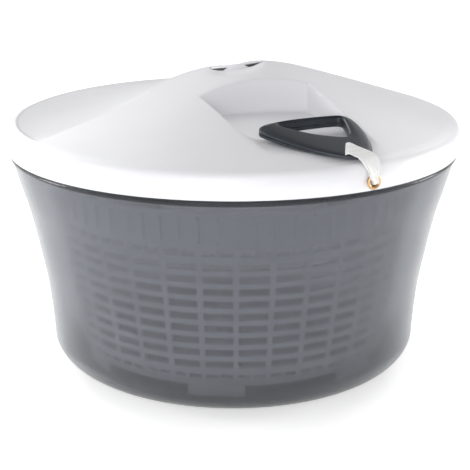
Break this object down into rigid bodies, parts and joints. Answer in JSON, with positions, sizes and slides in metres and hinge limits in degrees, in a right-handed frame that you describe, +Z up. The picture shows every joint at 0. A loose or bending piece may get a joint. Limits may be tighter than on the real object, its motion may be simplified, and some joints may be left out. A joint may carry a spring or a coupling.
{
  "type": "salad spinner",
  "caption": "Clear bowl with a slotted spinning basket under a white swirl-topped lid, driven by a pull cord with a triangular handle.",
  "frame": {"origin": "centre of the flat base, on the surface it stands on", "axes": "+Z up along the spin axis; -Y is the front; the cord is pulled towards +X and -Y"},
  "size_m": [0.26, 0.26, 0.1795],
  "materials": {
    "smoky_bowl": "frosted smoky blue-grey clear plastic",
    "white_lid": "satin white moulded plastic",
    "white_basket": "white moulded polypropylene",
    "slate_handle": "dark slate soft-touch plastic",
    "white_cord": "flat woven white cord",
    "brass_eyelet": "rolled brass",
    "steel": "bright steel",
    "grey_acetal": "self-lubricating grey plastic",
    "soft_rubber": "soft non-slip rubber"
  },
  "bodies": {
    "bowl": {"bowl": "smoky_bowl", "foot_ring": "soft_rubber"},
    "pivot": {"pivot_cup": "grey_acetal"},
    "basket": {"basket": "white_basket"},
    "lid": {"lid_shell": "white_lid", "lid_inner_plate": "white_lid", "cord_eyelet": "brass_eyelet", "plate_screw_1": "steel", "plate_screw_2": "steel", "plate_screw_3": "steel", "drum_housing": "white_lid", "spindle_bush": "grey_acetal", "cord_run": "white_cord", "return_spring": "steel", "brake_spring": "steel"},
    "driver": {"driver_disc": "white_lid", "drive_spindle": "steel", "ratchet_ring": "grey_acetal"},
    "drum": {"cord_drum": "grey_acetal", "cord_winding": "white_cord", "pawl_pin_1": "steel", "pawl_pin_2": "steel"},
    "pawl_a": {"pawl_1": "steel"},
    "pawl_b": {"pawl_2": "steel"},
    "brake": {"brake_button": "white_lid", "brake_plunger": "grey_acetal", "brake_pad": "soft_rubber"},
    "handle": {"handle_top": "slate_handle", "handle_base": "slate_handle", "pull_cord": "white_cord"}
  },
  "joints": [
    {"name": "lid_lift", "type": "slide", "parent": "bowl", "child": "lid", "axis": [0, 0, 1], "range_m": [0, 0.26]},
    {"name": "basket_lift", "type": "slide", "parent": "bowl", "child": "pivot", "axis": [0, 0, 1], "range_m": [0, 0.12]},
    {"name": "basket_spin", "type": "hinge", "parent": "pivot", "child": "basket", "pos_m": [0, 0, 0.03], "axis": [0, 0, 1], "continuous": true},
    {"name": "driver_spin", "type": "hinge", "parent": "lid", "child": "driver", "pos_m": [0, 0, 0.13], "axis": [0, 0, 1], "continuous": true},
    {"name": "handle_pull", "type": "slide", "parent": "lid", "child": "handle", "axis": [0.5417, -0.8406, 0], "range_m": [0, 0.5], "stiffness_N_per_m": 8, "springref_m": -0.15, "deforming": ["pull_cord"]},
    {"name": "drum_spin", "type": "hinge", "parent": "lid", "child": "drum", "pos_m": [0, 0, 0.135], "axis": [0, 0, 1], "range_deg": [0, 1440]},
    {"name": "pawl_a_swing", "type": "hinge", "parent": "drum", "child": "pawl_a", "pos_m": [0.013, 0, 0.134], "axis": [0, 0, 1], "range_deg": [0, 12], "stiffness_Nm_per_rad": 0.0005},
    {"name": "pawl_b_swing", "type": "hinge", "parent": "drum", "child": "pawl_b", "pos_m": [-0.013, 0, 0.134], "axis": [0, 0, 1], "range_deg": [0, 12], "stiffness_Nm_per_rad": 0.0005},
    {"name": "brake_press", "type": "slide", "parent": "lid", "child": "brake", "axis": [0, 0, -1], "range_m": [0, 0.004], "stiffness_N_per_m": 400, "springref_m": -0.002, "deforming": ["brake_spring"]}
  ],
  "couplings": [
    {"joint": "basket_lift", "follows": "lid_lift", "ratio": 0.45},
    {"joint": "driver_spin", "follows": "basket_spin", "ratio": 1},
    {"joint": "drum_spin", "follows": "handle_pull", "rad_per_m": 50.2}
  ]
}
